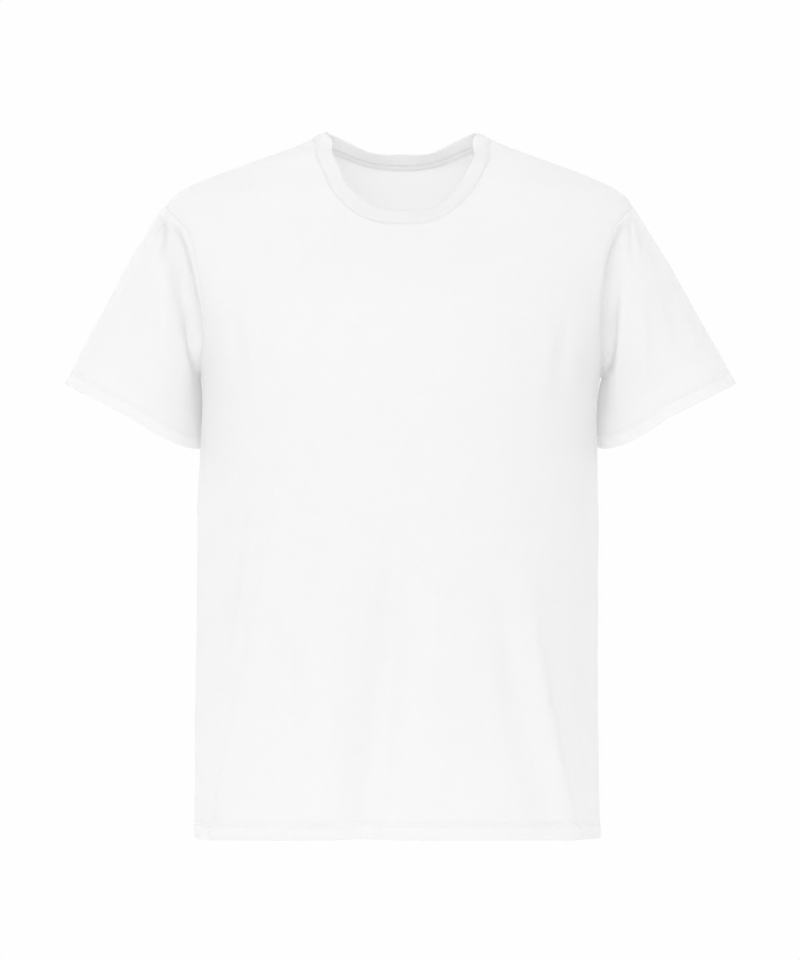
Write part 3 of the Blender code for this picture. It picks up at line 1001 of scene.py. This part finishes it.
def yarn_material(name, colour, yarn):
    """Yarn whose fibres show: the sewing thread, and the rib, whose ribs are in its mesh."""
    scale, detail, strength, depth, roughness = yarn
    material, graph, shader = material_graph(name)
    place = graph.add("ShaderNodeTexCoord")["Object"]
    fibres = graph.noise({}, place, scale, detail)
    shade = tinted(graph, colour, 1 + (fibres - 0.5) * FIBRE_SHADE)
    bump = graph.bump(strength, depth, fibres)
    set_cloth_shader(graph, shader, roughness, shade, bump, TRIM_LETS_THROUGH)
    return material


def geometry_graph(name, inputs):
    """A geometry node tree with named inputs: (name, socket type, default)."""
    tree = bpy.data.node_groups.new(name, "GeometryNodeTree")
    face = tree.interface
    face.new_socket("Geometry", in_out="INPUT", socket_type="NodeSocketGeometry")
    face.new_socket("Geometry", in_out="OUTPUT", socket_type="NodeSocketGeometry")
    for label, kind, default in inputs:
        socket = face.new_socket(label, in_out="INPUT", socket_type=kind)
        if default is not None:
            socket.default_value = default
    graph = Graph(tree)
    return graph, graph.add("NodeGroupInput")


def finish_geometry(graph, geometry, given):
    """Ends a tree: instances are made real and take their material."""
    real = graph.add("GeometryNodeRealizeInstances", {}, {0: geometry})[0]
    smooth = graph.add("GeometryNodeSetShadeSmooth", {}, {0: real})[0]
    dressed = graph.add(
        "GeometryNodeSetMaterial", {}, {"Geometry": smooth, "Material": given["Material"]}
    )[0]
    graph.add("NodeGroupOutput", {}, {0: dressed})
    return graph.tree


def stitch_tree():
    """Stitches laid end to end along a path, lying on the cloth it faces."""
    graph, given = geometry_graph(
        "Stitch Row",
        (
            ("Pitch", "NodeSocketFloat", 0.003),
            ("Stitch Length", "NodeSocketFloat", 0.0024),
            ("Thread", "NodeSocketFloat", 0.0004),
            ("Unevenness", "NodeSocketFloat", 0.1),
            ("Seed", "NodeSocketInt", 1),
            ("Material", "NodeSocketMaterial", None),
        ),
    )
    path = graph.add("GeometryNodeMeshToCurve", {}, {0: given["Geometry"]})[0]
    evenly = graph.add(
        "GeometryNodeResampleCurve", {"mode": "LENGTH"}, {"Curve": path, "Length": given["Pitch"]}
    )[0]
    facing = graph.attribute("facing", "FLOAT_VECTOR")
    along = graph.add("GeometryNodeInputTangent")["Tangent"]
    turned = graph.add("FunctionNodeAlignRotationToVector", {"axis": "X"}, {"Vector": along})[0]
    lying = graph.add(
        "FunctionNodeAlignRotationToVector",
        {"axis": "Z", "pivot_axis": "X"},
        {"Rotation": turned, "Vector": facing},
    )[0]
    low = 1 - given["Unevenness"]
    high = 1 + given["Unevenness"]
    least, most = graph.vector(low, low, low), graph.vector(high, high, high)
    size = graph.add(
        "FunctionNodeRandomValue",
        {"data_type": "FLOAT_VECTOR"},
        {0: least, 1: most, "Seed": given["Seed"]},
    )[0]
    bead = graph.add(
        "GeometryNodeMeshUVSphere", {}, {"Segments": 6, "Rings": 5, "Radius": 0.5}
    )["Mesh"]
    shape = graph.vector(given["Stitch Length"], given["Thread"], given["Thread"])
    stitch = graph.add("GeometryNodeTransform", {}, {"Geometry": bead, "Scale": shape})[0]
    row = graph.add(
        "GeometryNodeInstanceOnPoints",
        {},
        {"Points": evenly, "Instance": stitch, "Rotation": lying, "Scale": size},
    )[0]
    return finish_geometry(graph, row, given)


def rib_tree():
    """Fine ribs raised on a ring: the attribute round runs from 0 to 1 along it."""
    graph, given = geometry_graph(
        "Rib Knit",
        (
            ("Rib Count", "NodeSocketInt", 400),
            ("Rib Depth", "NodeSocketFloat", 0.00012),
            ("Material", "NodeSocketMaterial", None),
        ),
    )
    share, raised = graph.attribute("round", "FLOAT"), graph.attribute("ribbed", "FLOAT")
    wave = (share * given["Rib Count"] * (2 * np.pi)).sine() * given["Rib Depth"] * raised
    outward = graph.add("GeometryNodeInputNormal")["Normal"]
    offset = graph.add(
        "ShaderNodeVectorMath", {"operation": "SCALE"}, {0: outward, "Scale": wave}
    )[0]
    ribbed = graph.add(
        "GeometryNodeSetPosition", {}, {"Geometry": given["Geometry"], "Offset": offset}
    )[0]
    return finish_geometry(graph, ribbed, given)


def grown(piece, tree, values):
    """Runs a geometry tree on a piece and keeps the result as its plain mesh."""
    modifier = piece.modifiers.new(tree.name, "NODES")
    modifier.node_group = tree
    inputs = [item for item in tree.interface.items_tree if item.in_out == "INPUT"]
    sockets = {item.name: item.identifier for item in inputs}
    for name, value in values.items():
        modifier[sockets[name]] = value
    view = bpy.context.evaluated_depsgraph_get()
    mesh = bpy.data.meshes.new_from_object(piece.evaluated_get(view))
    piece.modifiers.remove(modifier)
    old, piece.data = piece.data, mesh
    bpy.data.meshes.remove(old)
    mesh.name = piece.name
    return piece


def path_object(name, loops):
    """Edges along one or more paths, each given as (points, facings, closed)."""
    points, edges, facings = [], [], []
    for line, facing, closed in loops:
        first = len(points)
        points += (np.asarray(line) / METRE).tolist()
        facings += np.asarray(facing).tolist()
        edges += [(first + k, first + k + 1) for k in range(len(line) - 1)]
        if closed:
            edges.append((first + len(line) - 1, first))
    mesh = bpy.data.meshes.new(name)
    mesh.from_pydata(points, edges, [])
    layer = mesh.attributes.new("facing", "FLOAT_VECTOR", "POINT")
    layer.data.foreach_set("vector", np.array(facings, np.float32).ravel())
    piece = bpy.data.objects.new(name, mesh)
    bpy.context.scene.collection.objects.link(piece)
    return piece


def number(name, description, default, **more):
    """A setting that is a number."""
    return bpy.props.FloatProperty(name=name, description=description, default=default, **more)


def fine_length(name, description, default):
    """A setting that is a length of a millimetre or so, in metres."""
    return number(name, description, default, unit="LENGTH", precision=5)


def cloth_colour(name, description, slot):
    """A setting that is a colour, at first that of a slot."""
    return bpy.props.FloatVectorProperty(
        name=name, description=description, default=slot_colour(slot), size=4, subtype="COLOR"
    )


class ClothSettings(bpy.types.PropertyGroup):
    """Sizes and colours of the cloth."""

    layer: fine_length("Cloth Thickness", "Thickness of one layer of jersey", 0.0008)
    creases: number(
        "Crease Strength", "How strongly the creases and puckers stand out", 1.0, min=0.0, max=2.0
    )
    uneven: fine_length("Unevenness", "How far the cloth is slowly uneven", 0.00035)
    wale_pitch: fine_length("Wale Pitch", "Width of one column of knit stitches", 0.00072)
    course_pitch: fine_length("Course Pitch", "Height of one row of knit stitches", 0.00056)
    slub: number(
        "Slub", "How much lighter and darker the slubs of the yarn are", 0.05, min=0.0, max=0.5
    )
    jersey_colour: cloth_colour(
        "Jersey Colour", "Colour of the panels and sleeves", "white_jersey"
    )
    rib_colour: cloth_colour("Rib Colour", "Colour of the neckband", "white_rib")
    tape_colour: cloth_colour(
        "Tape Colour", "Colour of the neck tape and of the thread", "white_tape"
    )


class TrimSettings(bpy.types.PropertyGroup):
    """Sizes of the ribs and stitches."""

    rib_pitch: fine_length(
        "Rib Pitch", "Distance from one rib of the neckband to the next", 0.0012
    )
    rib_depth: fine_length("Rib Depth", "How far the ribs rise and sink", 0.00022)
    stitch_pitch: fine_length("Stitch Pitch", "Distance from one stitch to the next", 0.0029)
    stitch_length: fine_length(
        "Stitch Length", "Length of the thread that shows in one stitch", 0.0023
    )
    thread: fine_length("Thread Diameter", "Diameter of the sewing thread", 0.00042)


class StageSettings(bpy.types.PropertyGroup):
    """Camera, light and floor."""

    camera_distance: number(
        "Camera Distance", "Distance from the camera to the shirt", 3.2, unit="LENGTH"
    )
    view_height: number(
        "View Height", "Height of what the camera takes in at the shirt", 0.9754, unit="LENGTH"
    )
    backdrop: number("Backdrop", "How bright the white room looks behind the shirt", 0.991)
    ambient: number(
        "Ambient Light", "Strength of the white light that the room gives from all round", 0.81
    )
    key_power: number(
        "Key Light", "Power of the soft light above and in front", 18.0, unit="POWER"
    )
    front_power: number(
        "Front Light",
        "Power of the wide light behind the camera, which reaches into the neck",
        25.0,
        unit="POWER",
    )
    rim_power: number(
        "Rim Lights",
        "Power of each of the two lights at the sides, behind the sleeves",
        26.0,
        unit="POWER",
    )
    floor_height: number(
        "Floor Height",
        "Height of the floor below the shoulders of a wearer who stands",
        -1.4,
        unit="LENGTH",
    )


def cloth_piece(name, grid, normals, closed, edge):
    """What is known of a piece: its outer face, and which of its points are on its edge."""
    return {
        "name": name,
        "grid": grid,
        "normals": normals,
        "closed": closed,
        "edge": edge,
        "alike": np.ones(grid.shape[:2]),
    }


def shaped_pieces():
    """The four large pieces, with their normals matched along the seams."""
    pieces = {}
    for name, behind in (("front_panel", False), ("back_panel", True)):
        grid = panel(behind)
        rows, columns = grid.shape[:2]
        edge = [(row, column) for row in range(rows) for column in (0, columns - 1)]
        neck = [(rows - 1, column) for column in range(1, columns - 1)]
        piece = cloth_piece(name, grid, normals_of(grid, False), False, edge + neck)
        hem = grid[0][None]
        piece["neck_from"] = len(edge)
        piece["up"] = np.linalg.norm(grid - hem, axis=2)
        piece["up"][HEM_ZONE_ROWS:] = FAR_FROM_HEM
        piece["hem_depth"] = BODY_HEM_DEPTH
        piece["uv"] = pattern_of_panel(grid, behind)
        pieces[name] = piece
    for name, _, *shape in SLEEVES:
        grid, up = sleeve(*shape)
        edge = [(0, column) for column in range(grid.shape[1])]
        piece = cloth_piece(name, grid, normals_of(grid, True), True, edge)
        piece["neck_from"] = len(edge)
        piece["up"] = up
        piece["hem_depth"] = SLEEVE_HEM_DEPTH
        round_ring = np.linalg.norm(np.roll(grid, -1, 1) - grid, axis=2).mean(axis=0)
        across = np.concatenate([[0], np.cumsum(round_ring)])
        ring = np.broadcast_to(across, (grid.shape[0], len(across)))
        joined = np.hstack([up, up[:, :1]])
        piece["uv"] = np.stack([ring, joined], axis=-1)
        pieces[name] = piece
    share_normals(list(pieces.values()))
    return pieces


def hem_ripple(piece):
    """Small slanting puckers that the twin needles leave in a hem."""
    draw = np.random.default_rng(len(piece["name"]))
    along = piece["uv"][..., : piece["grid"].shape[1], 0]
    up = piece["up"]
    wave = np.zeros(up.shape)
    for length in RIPPLE_LENGTHS:
        phase = draw.uniform(0, 2 * np.pi)
        lean = draw.uniform(-RIPPLE_SLANT, RIPPLE_SLANT)
        height = (length / max(RIPPLE_LENGTHS)) ** RIPPLE_GROWTH
        wave += np.sin(2 * np.pi * (along + lean * up) / length + phase) * height
    share = up / piece["hem_depth"]
    rising, gone, fading = RIPPLE_SPAN
    window = ramp(share / rising) * ramp((gone - share) / fading)
    return wave * window * HEM_RIPPLE


def finished(piece, settings):
    """Both faces of a piece: creased, rolled in at its seams, and folded at its hem."""
    grid, normals = piece["grid"], piece["normals"]
    rows, columns = zip(*piece["edge"])
    edge = grid[rows, columns]
    distance, nearest = near_edge(grid, edge)
    alike = piece["alike"][rows, columns][nearest]
    clear = ramp(distance / CREASE_CLEARANCE)
    layer = settings.layer * METRE
    push = creases_on(piece["name"], grid, normals) * clear
    push += unevenness(grid) * settings.uneven * METRE * clear
    push += hem_ripple(piece) * clear
    push *= settings.creases
    at_neck = (nearest >= piece["neck_from"])[..., None]
    depth, reach = np.moveaxis(np.where(at_neck, NECK_ROLL, SEAM_ROLL), -1, 0)
    push -= depth * alike * np.exp(-((distance / reach) ** 2))
    sink, thick = hem_profile(piece["up"], piece["hem_depth"], layer)
    outer = grid + normals * (push - sink)[..., None]
    return outer, outer - normals * thick[..., None]


# The pieces made so far, for the tape and stitches that lie on them
PIECES = {}


class BodyPanels(bpy.types.Operator):
    """Make the front and back panels and the two sleeves"""

    bl_idname = "tee.cloth"
    bl_label = "Panels and Sleeves"

    def execute(self, context):
        settings = context.scene.tee_cloth
        jersey = jersey_material(
            "white_jersey_knit", settings.jersey_colour, settings, KNIT_DEPTH, LET_THROUGH
        )
        stands_for = {"front_panel": "front", "back_panel": "back"}
        stands_for.update({name: node for name, node, *_ in SLEEVES})
        for name, piece in shaped_pieces().items():
            outer, inner = finished(piece, settings)
            piece["outer"], piece["inner"] = outer, inner
            made = cloth_mesh(name, outer, inner, piece["closed"], piece["uv"], jersey)
            PIECES[name] = piece
            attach(made, "root")
            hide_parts(stands_for[name])
            flat, area = CUT[name]
        return {"FINISHED"}


class Neckband(bpy.types.Operator):
    """Make the folded rib band round the neck"""

    bl_idname = "tee.neckband"
    bl_label = "Neckband"

    def execute(self, context):
        settings, trim = context.scene.tee_cloth, context.scene.tee_trim
        *_, length = neck_loop(1)
        ribs = round(length / (trim.rib_pitch * METRE))
        seam, cloth_faces, angle, _ = neck_loop(ribs * POINTS_PER_RIB)
        along = unit(np.roll(seam, -1, 0) - np.roll(seam, 1, 0))
        onward = unit(np.cross(cloth_faces, along))
        in_front = np.clip(angle, -HALF_TURN / 2, HALF_TURN / 2)
        twist = BAND_TWIST * np.sin(np.radians(2 * in_front))
        lean = np.radians(curve(BAND_LEAN, 1, np.abs(angle)) - twist)[:, None]
        rising = onward * np.cos(lean) + cloth_faces * np.sin(lean)
        rising = unit(eased(rising, ribs // BAND_EVENED_OVER))
        facing = unit(np.cross(along, rising))
        grid = np.array([seam + rising * width + facing * out for width, out in BAND_ROUND])
        grid += unevenness(grid)[..., None] * facing[None] * BAND_UNEVEN
        count = grid.shape[1]
        index = np.arange(grid.shape[0] * count).reshape(-1, count)
        index = np.vstack([index, index[:1]])
        index = np.hstack([index, index[:, :1]])
        mesh = bpy.data.meshes.new("rib_neckband")
        mesh.from_pydata((grid.reshape(-1, 3) / METRE).tolist(), [], quads(index).tolist())
        rib = yarn_material("white_rib_knit", settings.rib_colour, RIB_YARN)
        mesh.materials.append(rib)
        share = np.tile(np.arange(count) / count, grid.shape[0])
        mesh.attributes.new("round", "FLOAT", "POINT").data.foreach_set("value", share)
        raised = np.ones(grid.shape[:2])
        raised[(0, -1), :] = 0
        mesh.attributes.new("ribbed", "FLOAT", "POINT").data.foreach_set("value", raised.ravel())
        mesh.shade_smooth()
        band = bpy.data.objects.new("rib_neckband", mesh)
        context.scene.collection.objects.link(band)
        values = {"Rib Count": ribs, "Rib Depth": trim.rib_depth, "Material": rib}
        grown(band, rib_tree(), values)
        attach(band, "root")
        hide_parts("neckband")
        length / METRE
        return {"FINISHED"}


class NeckTape(bpy.types.Operator):
    """Make the rolled tape that covers the back neck seam inside"""

    bl_idname = "tee.neck_tape"
    bl_label = "Neck Tape"

    def execute(self, context):
        settings = context.scene.tee_cloth
        back = PIECES["back_panel"]
        inner, normals = back["inner"], back["normals"]
        gone = np.linalg.norm(np.diff(inner[::-1], axis=0), axis=2).cumsum(axis=0)
        gone = np.vstack([np.zeros((1, inner.shape[1])), gone])
        seam = np.linalg.norm(np.diff(inner[-1], axis=0), axis=1)
        length = np.concatenate([[0], np.cumsum(seam)])
        at = np.linspace(TAPE_INSET, length[-1] - TAPE_INSET, TAPE_COLUMNS)
        shares, lift = np.array(TAPE_SECTION).T[..., None]
        downs = TAPE_START + shares[:, 0] * TAPE_WIDTH
        lines = [along_columns(down, gone, inner[::-1]) for down in downs]
        bed = np.array([read_along(at, length, line) for line in lines])
        facing = read_along(at, length, -normals[-1])
        puff = 1 + TAPE_UNEVEN * unevenness(bed * TAPE_UNEVEN_SCALE)
        face = bed + facing[None] * (TAPE_OFF + TAPE_LEAST + lift * puff)[..., None]
        under = bed + facing[None] * TAPE_OFF
        across = np.broadcast_to(at, face.shape[:2])
        up = np.broadcast_to(shares * TAPE_WIDTH, face.shape[:2])
        uv = np.stack([across, up], axis=-1)
        tape_cloth = jersey_material(
            "white_tape_knit", settings.tape_colour, settings, TAPE_KNIT_DEPTH, TRIM_LETS_THROUGH
        )
        flip = slice(None, None, -1)
        tape = cloth_mesh("rolled_neck_tape", face[:, flip], under[:, flip], False, uv, tape_cloth)
        PIECES["tape"] = {"face": face, "facing": facing}
        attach(tape, "root")
        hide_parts("neck_tape")
        (at[-1] - at[0]) / METRE
        return {"FINISHED"}


class Stitching(bpy.types.Operator):
    """Make the rows of stitches on the hems and the neck tape"""

    bl_idname = "tee.stitching"
    bl_label = "Stitching"

    def execute(self, context):
        settings, trim = context.scene.tee_cloth, context.scene.tee_trim
        thread = yarn_material("white_sewing_thread", settings.tape_colour, THREAD_YARN)
        tree = stitch_tree()
        rows = {"body_hem_stitches": [], "sleeve_hem_stitches": [], "tape_stitches": []}
        for name, piece in PIECES.items():
            if name == "tape":
                face = piece["face"]
                shares = np.broadcast_to([[s] for s, _ in TAPE_SECTION], face.shape[:2])
                for share in TAPE_NEEDLES:
                    points = along_columns(share, shares, face)
                    rows["tape_stitches"].append((points, piece["facing"], False))
                continue
            target = "sleeve_hem_stitches" if piece["closed"] else "body_hem_stitches"
            order = slice(None, None, -1) if piece["closed"] else slice(None)
            heights, outer = piece["up"][order], piece["outer"][order]
            for share in NEEDLE_ROWS:
                up = share * piece["hem_depth"]
                points = along_columns(up, heights, outer)
                row = np.abs(heights[:, 0] - up).argmin()
                rows[target].append((points, piece["normals"][order][row], piece["closed"]))
        for seed, (name, lines) in enumerate(rows.items()):
            path = path_object(name, lines)
            values = {
                "Pitch": trim.stitch_pitch,
                "Stitch Length": trim.stitch_length,
                "Thread": trim.thread,
                "Seed": seed,
                "Material": thread,
            }
            grown(path, tree, values)
            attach(path, "root")
            "white_tape" if name == "tape_stitches" else "white_jersey"
        return {"FINISHED"}


class Stage(bpy.types.Operator):
    """Set up the floor, the soft light and the camera"""

    bl_idname = "tee.stage"
    bl_label = "Stage"

    def execute(self, context):
        stage, scene = context.scene.tee_stage, context.scene
        scene.view_settings.view_transform = "Standard"
        scene.view_settings.look = "None"
        scene.cycles.max_bounces = scene.cycles.transmission_bounces = BOUNCES
        scene.cycles.diffuse_bounces = BOUNCES // 2
        world = bpy.data.worlds.new("white room")
        world.use_nodes = True
        graph = Graph(world.node_tree)
        backdrop = world.node_tree.nodes["Background"]
        seen = graph.add("ShaderNodeLightPath")["Is Camera Ray"]
        white = seen * (stage.backdrop - stage.ambient) + stage.ambient
        graph.fill(backdrop, {"Color": (1, 1, 1, 1), "Strength": white})
        scene.world = world
        for name, (place, size, power) in LIGHTS.items():
            self.light(name, place, size, getattr(stage, power))
        self.floor(stage.floor_height)
        camera = bpy.data.cameras.new("camera")
        camera.sensor_fit = "VERTICAL"
        camera.sensor_height = SENSOR_HEIGHT
        camera.lens = SENSOR_HEIGHT * stage.camera_distance / stage.view_height
        eye = bpy.data.objects.new("camera", camera)
        eye.location = (CAMERA_PLACE[0], -stage.camera_distance, CAMERA_PLACE[1])
        eye.rotation_euler = (np.pi / 2, 0, 0)
        scene.collection.objects.link(eye)
        scene.camera = eye
        return {"FINISHED"}

    @staticmethod
    def light(name, place, size, power):
        """A square soft light that faces the middle of the shirt."""
        lamp = bpy.data.lights.new(name, "AREA")
        lamp.shape, lamp.size, lamp.energy = "SQUARE", size, power
        light = bpy.data.objects.new(name, lamp)
        light.location = place
        aim = Vector(LIT_PLACE) - Vector(place)
        light.rotation_euler = aim.to_track_quat("-Z", "Y").to_euler()
        bpy.context.scene.collection.objects.link(light)

    @staticmethod
    def floor(height):
        """A round pale floor where a wearer would stand."""
        turn = np.linspace(0, 2 * np.pi, FLOOR_SIDES, endpoint=False)
        x, y = FLOOR_RADIUS * np.cos(turn), FLOOR_RADIUS * np.sin(turn)
        rim = np.stack([x, y, 0 * turn + height], -1)
        mesh = bpy.data.meshes.new("floor")
        mesh.from_pydata(rim.tolist(), [], [list(range(len(rim)))])
        paint = bpy.data.materials.new("pale_floor")
        paint.use_nodes = True
        shader = paint.node_tree.nodes["Principled BSDF"]
        shader.inputs["Base Color"].default_value = FLOOR_COLOUR
        shader.inputs["Roughness"].default_value = FLOOR_ROUGHNESS
        mesh.materials.append(paint)
        floor = bpy.data.objects.new("floor", mesh)
        bpy.context.scene.collection.objects.link(floor)


class TeePanel(bpy.types.Panel):
    """The t-shirt's pieces and settings"""

    bl_idname = "VIEW3D_PT_tee"
    bl_label = "Crew Neck T-Shirt"
    bl_space_type = "VIEW_3D"
    bl_region_type = "UI"
    bl_category = "T-Shirt"

    def draw(self, context):
        for settings in (context.scene.tee_cloth, context.scene.tee_trim, context.scene.tee_stage):
            box = self.layout.box()
            for name in settings.__annotations__:
                box.prop(settings, name)
        for operator in OPERATORS:
            self.layout.operator(operator.bl_idname)


OPERATORS = (BodyPanels, Neckband, NeckTape, Stitching, Stage)
SETTINGS = {"tee_cloth": ClothSettings, "tee_trim": TrimSettings, "tee_stage": StageSettings}


def register():
    for kind in (*SETTINGS.values(), *OPERATORS, TeePanel):
        bpy.utils.register_class(kind)
    for name, kind in SETTINGS.items():
        setattr(bpy.types.Scene, name, bpy.props.PointerProperty(type=kind))


def unregister():
    for name in SETTINGS:
        delattr(bpy.types.Scene, name)
    for kind in reversed((*SETTINGS.values(), *OPERATORS, TeePanel)):
        bpy.utils.unregister_class(kind)


def main():
    register()
    bpy.ops.tee.cloth()
    bpy.ops.tee.neckband()
    bpy.ops.tee.neck_tape()
    bpy.ops.tee.stitching()
    bpy.ops.tee.stage()


if __name__ == "__main__":
    main()
